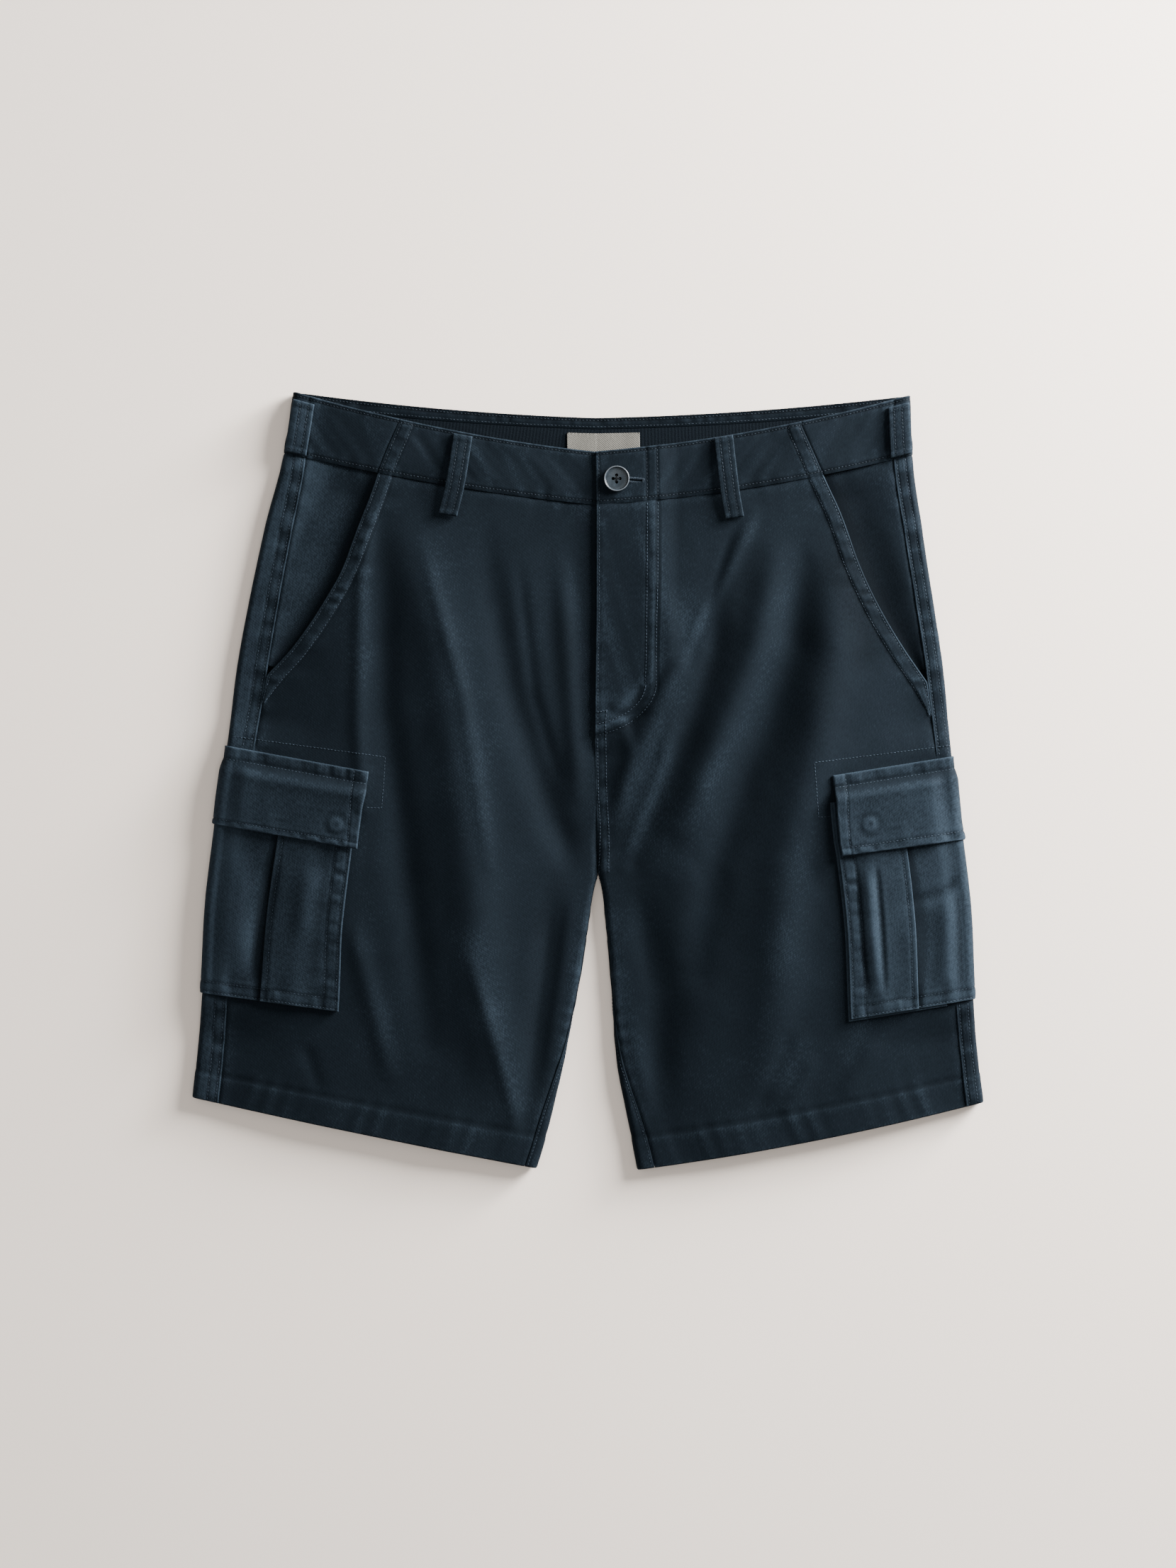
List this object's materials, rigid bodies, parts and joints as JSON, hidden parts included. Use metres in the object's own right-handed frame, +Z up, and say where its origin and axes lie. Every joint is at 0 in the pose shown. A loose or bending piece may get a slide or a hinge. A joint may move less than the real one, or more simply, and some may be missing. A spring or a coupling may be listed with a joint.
{
  "type": "cargo shorts",
  "caption": "Buttoned cargo shorts laid flat on their back, with slant pockets, belt loops and a flapped, pleated pocket on each leg.",
  "frame": {"origin": "centre of the whole outline, on the surface that the shorts lie on", "axes": "+X towards the wearer's left, +Y from the hems to the waist, +Z up from the surface, out of the front of the shorts"},
  "size_m": [0.5575, 0.5487, 0.0228],
  "materials": {
    "twill": "washed cotton twill with a faint sheen, topstitched in the same colour",
    "facing": "ribbed woven tape, matt",
    "tape": "plain woven tape",
    "horn": "dished four-hole button with a soft gloss"
  },
  "bodies": {
    "root": {"waistband_back": "twill", "waistband_facing": "facing", "label": "tape", "front_right": "twill", "back_right": "twill", "back_side_fold_right": "twill", "back_inner_fold_right": "twill", "side_panel_right": "twill", "mouth_band_right": "twill", "mouth_band_top_right": "twill", "waistband_side_right": "twill", "pocket_right": "twill", "gusset_right": "twill", "flap_right": "twill", "loop_front_right": "twill", "loop_side_right": "twill", "front_left": "twill", "back_left": "twill", "back_side_fold_left": "twill", "back_inner_fold_left": "twill", "side_panel_left": "twill", "mouth_band_left": "twill", "mouth_band_top_left": "twill", "waistband_side_left": "twill", "pocket_left": "twill", "gusset_left": "twill", "flap_left": "twill", "loop_front_left": "twill", "loop_side_left": "twill", "waistband_front_right": "twill", "waistband_front_left": "twill", "fly": "twill", "button": "horn"}
  },
  "joints": []
}
